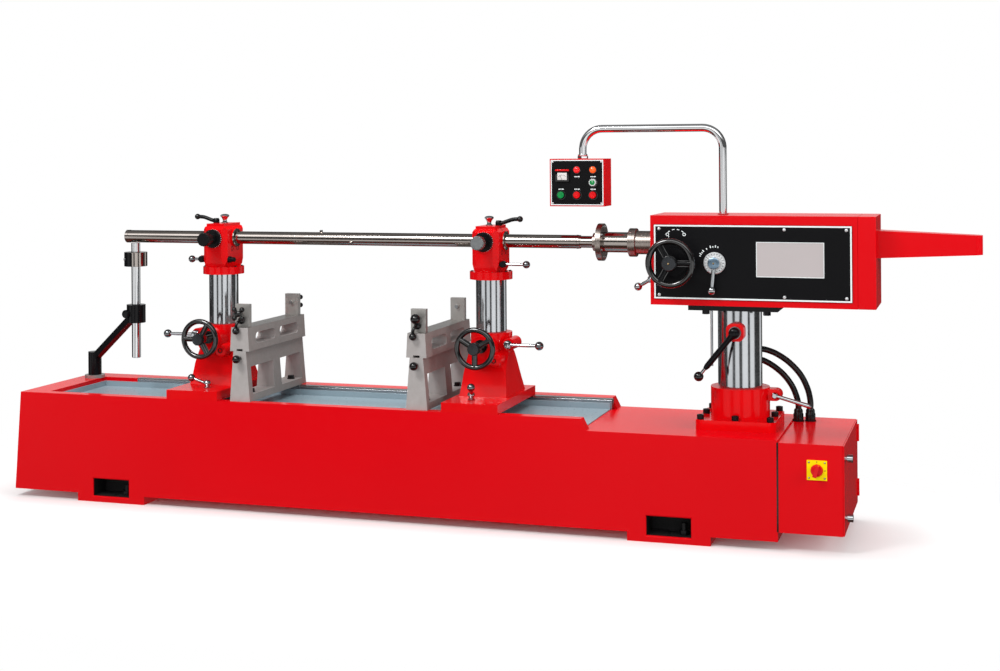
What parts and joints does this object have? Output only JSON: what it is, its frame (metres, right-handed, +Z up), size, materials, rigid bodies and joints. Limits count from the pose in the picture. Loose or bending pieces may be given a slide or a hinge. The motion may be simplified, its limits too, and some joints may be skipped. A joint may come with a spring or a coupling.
{
  "type": "line boring machine",
  "caption": "Floor-standing line boring machine with red bed, spindle head on a round column, bar uprights, block supports, bar rest and swinging control pendant",
  "frame": {"origin": "on the floor, at the centre of the four anchor holes in the feet", "axes": "+X along the bed to the spindle head, +Y to the back, +Z up; the boring bar's axis lies at y = 0"},
  "size_m": [3.518, 0.5432, 1.3905],
  "materials": {
    "red_paint": "gloss enamel sprayed on filled castings and welded plate",
    "tray_paint": "satin light blue enamel on folded sheet",
    "ground_steel": "ground and polished",
    "zinc_steel": "zinc plated",
    "black_oxide": "satin black finish on steel and iron",
    "chrome": "bright chrome plate",
    "black_plastic": "fine grained moulding",
    "rubber": "smooth extruded",
    "grey_paint": "satin grey enamel",
    "green_plastic": "moulded, glossy",
    "red_plastic": "moulded, glossy"
  },
  "bodies": {
    "bed": {"bed_casing": "red_paint", "chip_tray": "tray_paint", "rear_rail": "ground_steel", "levelling_screws": "zinc_steel", "electric_cabinet": "red_paint", "cabinet_fittings": "black_plastic", "column_collar": "red_paint", "collar_bolts": "black_oxide", "conduits": "rubber", "rest_stand": "black_oxide"},
    "door": {"cabinet_door": "red_paint"},
    "isolator": {"isolator_knob": "red_paint"},
    "clamp_handle": {"collar_handle": "chrome"},
    "head": {"head_column": "ground_steel", "head_plate": "black_oxide", "head_case": "red_paint", "head_end_cover": "red_paint", "tail_cover": "red_paint", "control_panel": "black_plastic", "lock_boss": "red_paint", "spindle_nose": "ground_steel", "drive_motor": "grey_paint", "drive_belt": "rubber"},
    "head_lock": {"column_lock_lever": "black_oxide"},
    "quill": {"quill": "ground_steel"},
    "bar": {"boring_bar": "ground_steel"},
    "feed": {"feed_wheel": "black_oxide"},
    "selector": {"selector_lever": "chrome"},
    "quill_clamp": {"quill_lever": "chrome"},
    "pulley": {"spindle_pulley": "zinc_steel"},
    "motor_shaft": {"motor_pulley": "zinc_steel"},
    "pendant": {"pendant_arm": "chrome", "pendant_box": "red_paint"},
    "start": {"start_button": "green_plastic"},
    "stop": {"stop_button": "red_plastic"},
    "jog": {"jog_button": "red_plastic"},
    "speed": {"speed_knob": "black_plastic"},
    "rest": {"rest_rod": "ground_steel"},
    "left_base": {"left_pedestal": "red_paint"},
    "left_column": {"left_column": "ground_steel", "left_housing": "red_paint"},
    "left_lift_wheel": {"left_lift_wheel": "black_oxide"},
    "left_lock_lever": {"left_lock_lever": "chrome"},
    "left_base_lever": {"left_base_lever": "chrome"},
    "left_top_lever": {"left_top_lever": "black_oxide"},
    "left_side_lever": {"left_side_lever": "chrome"},
    "left_micrometer": {"left_micrometer": "black_oxide"},
    "left_trestle": {"left_trestle": "grey_paint"},
    "left_seat_block": {"left_seat_block": "grey_paint"},
    "right_base": {"right_pedestal": "red_paint"},
    "right_column": {"right_column": "ground_steel", "right_housing": "red_paint"},
    "right_lift_wheel": {"right_lift_wheel": "black_oxide"},
    "right_lock_lever": {"right_lock_lever": "chrome"},
    "right_base_lever": {"right_base_lever": "chrome"},
    "right_top_lever": {"right_top_lever": "black_oxide"},
    "right_side_lever": {"right_side_lever": "chrome"},
    "right_micrometer": {"right_micrometer": "black_oxide"},
    "right_trestle": {"right_trestle": "grey_paint"},
    "right_seat_block": {"right_seat_block": "grey_paint"}
  },
  "joints": [
    {"name": "head_lift", "type": "slide", "parent": "bed", "child": "head", "axis": [0, 0, 1], "range_m": [-0.06, 0.1], "deforming": ["conduits"]},
    {"name": "rest_lift", "type": "slide", "parent": "bed", "child": "rest", "axis": [0, 0, 1], "range_m": [-0.06, 0.1]},
    {"name": "door_swing", "type": "hinge", "parent": "bed", "child": "door", "pos_m": [1.627, 0.254, 0.206], "axis": [0, 0, 1], "range_deg": [0, 110]},
    {"name": "isolator_turn", "type": "hinge", "parent": "bed", "child": "isolator", "pos_m": [1.539, -0.258, 0.27], "axis": [0, 1, 0], "range_deg": [0, 90]},
    {"name": "clamp_turn", "type": "hinge", "parent": "bed", "child": "clamp_handle", "pos_m": [1.377, -0.035, 0.468], "axis": [0, 1, 0], "range_deg": [-60, 35]},
    {"name": "head_lock_turn", "type": "hinge", "parent": "head", "child": "head_lock", "pos_m": [1.255, -0.124, 0.686], "axis": [0, 1, 0], "range_deg": [-60, 40]},
    {"name": "quill_feed", "type": "slide", "parent": "head", "child": "quill", "axis": [1, 0, 0], "range_m": [-0.225, 0.075]},
    {"name": "bar_spin", "type": "hinge", "parent": "quill", "child": "bar", "pos_m": [0, 0, 0.978], "axis": [1, 0, 0], "continuous": true},
    {"name": "feed_turn", "type": "hinge", "parent": "head", "child": "feed", "pos_m": [1.053, -0.196, 0.922], "axis": [0, 1, 0], "range_deg": [-572.96, 190.99]},
    {"name": "selector_turn", "type": "hinge", "parent": "head", "child": "selector", "pos_m": [1.191, -0.14, 0.92], "axis": [0, 1, 0], "range_deg": [-45, 45]},
    {"name": "quill_clamp_turn", "type": "hinge", "parent": "head", "child": "quill_clamp", "pos_m": [0.958, -0.055, 0.855], "axis": [1, 0, 0], "range_deg": [-40, 40]},
    {"name": "pulley_spin", "type": "hinge", "parent": "head", "child": "pulley", "pos_m": [1.418, 0, 0.978], "axis": [1, 0, 0], "continuous": true},
    {"name": "motor_spin", "type": "hinge", "parent": "head", "child": "motor_shaft", "pos_m": [1.418, 0, 0.86], "axis": [1, 0, 0], "continuous": true},
    {"name": "pendant_swivel", "type": "hinge", "parent": "head", "child": "pendant", "pos_m": [1.2, 0, 1.079], "axis": [0, 0, 1], "range_deg": [-90, 90]},
    {"name": "start_press", "type": "slide", "parent": "pendant", "child": "start", "axis": [0, 1, 0], "range_m": [0, 0.004], "stiffness_N_per_m": 500, "springref_m": -0.002},
    {"name": "stop_press", "type": "slide", "parent": "pendant", "child": "stop", "axis": [0, 1, 0], "range_m": [0, 0.004], "stiffness_N_per_m": 500, "springref_m": -0.002},
    {"name": "jog_press", "type": "slide", "parent": "pendant", "child": "jog", "axis": [0, 1, 0], "range_m": [0, 0.004], "stiffness_N_per_m": 500, "springref_m": -0.002},
    {"name": "speed_turn", "type": "hinge", "parent": "pendant", "child": "speed", "pos_m": [0.753, -0.05, 1.189], "axis": [0, 1, 0], "range_deg": [-135, 135]},
    {"name": "left_upright_slide", "type": "slide", "parent": "bed", "child": "left_base", "axis": [1, 0, 0], "range_m": [-0.1, 0.03]},
    {"name": "left_lift", "type": "slide", "parent": "left_base", "child": "left_column", "axis": [0, 0, 1], "range_m": [-0.06, 0.1]},
    {"name": "left_wheel_turn", "type": "hinge", "parent": "left_base", "child": "left_lift_wheel", "pos_m": [-0.713, -0.19, 0.612], "axis": [0, 1, 0], "range_deg": [-540, 900]},
    {"name": "left_lock_turn", "type": "hinge", "parent": "left_base", "child": "left_lock_lever", "pos_m": [-0.795, -0.073, 0.614], "axis": [0, 1, 0], "range_deg": [-60, 45]},
    {"name": "left_base_turn", "type": "hinge", "parent": "left_base", "child": "left_base_lever", "pos_m": [-0.693, -0.172, 0.445], "axis": [0, 0, 1], "range_deg": [-30, 70]},
    {"name": "left_top_turn", "type": "hinge", "parent": "left_column", "child": "left_top_lever", "pos_m": [-0.743, 0, 1.042], "axis": [0, 0, 1], "range_deg": [-60, 60]},
    {"name": "left_side_turn", "type": "hinge", "parent": "left_column", "child": "left_side_lever", "pos_m": [-0.776, -0.054, 0.898], "axis": [0, 1, 0], "range_deg": [-75, 45]},
    {"name": "left_cross_turn", "type": "hinge", "parent": "left_column", "child": "left_micrometer", "pos_m": [-0.713, -0.12, 0.978], "axis": [0, 1, 0], "range_deg": [-180, 180]},
    {"name": "left_support_slide", "type": "slide", "parent": "bed", "child": "left_trestle", "axis": [1, 0, 0], "range_m": [0, 0.15]},
    {"name": "left_seat_slide", "type": "slide", "parent": "left_trestle", "child": "left_seat_block", "axis": [0, 1, 0], "range_m": [-0.03, 0.03]},
    {"name": "right_upright_slide", "type": "slide", "parent": "bed", "child": "right_base", "axis": [1, 0, 0], "range_m": [-0.03, 0.05]},
    {"name": "right_lift", "type": "slide", "parent": "right_base", "child": "right_column", "axis": [0, 0, 1], "range_m": [-0.06, 0.1]},
    {"name": "right_wheel_turn", "type": "hinge", "parent": "right_base", "child": "right_lift_wheel", "pos_m": [0.36, -0.19, 0.612], "axis": [0, 1, 0], "range_deg": [-540, 900]},
    {"name": "right_lock_turn", "type": "hinge", "parent": "right_base", "child": "right_lock_lever", "pos_m": [0.442, -0.073, 0.614], "axis": [0, 1, 0], "range_deg": [-45, 60]},
    {"name": "right_base_turn", "type": "hinge", "parent": "right_base", "child": "right_base_lever", "pos_m": [0.34, -0.172, 0.445], "axis": [0, 0, 1], "range_deg": [-70, 45]},
    {"name": "right_top_turn", "type": "hinge", "parent": "right_column", "child": "right_top_lever", "pos_m": [0.39, 0, 1.042], "axis": [0, 0, 1], "range_deg": [-60, 60]},
    {"name": "right_side_turn", "type": "hinge", "parent": "right_column", "child": "right_side_lever", "pos_m": [0.423, -0.054, 0.898], "axis": [0, 1, 0], "range_deg": [-45, 75]},
    {"name": "right_cross_turn", "type": "hinge", "parent": "right_column", "child": "right_micrometer", "pos_m": [0.36, -0.12, 0.978], "axis": [0, 1, 0], "range_deg": [-180, 180]},
    {"name": "right_support_slide", "type": "slide", "parent": "bed", "child": "right_trestle", "axis": [1, 0, 0], "range_m": [-0.15, 0]},
    {"name": "right_seat_slide", "type": "slide", "parent": "right_trestle", "child": "right_seat_block", "axis": [0, 1, 0], "range_m": [-0.03, 0.03]}
  ],
  "couplings": [
    {"joint": "rest_lift", "follows": "head_lift", "ratio": 1},
    {"joint": "feed_turn", "follows": "quill_feed", "rad_per_m": 44.444},
    {"joint": "pulley_spin", "follows": "bar_spin", "ratio": 1},
    {"joint": "motor_spin", "follows": "bar_spin", "ratio": 1.8333},
    {"joint": "left_lift", "follows": "head_lift", "ratio": 1},
    {"joint": "left_wheel_turn", "follows": "head_lift", "rad_per_m": 157.08},
    {"joint": "right_lift", "follows": "head_lift", "ratio": 1},
    {"joint": "right_wheel_turn", "follows": "head_lift", "rad_per_m": 157.08}
  ]
}
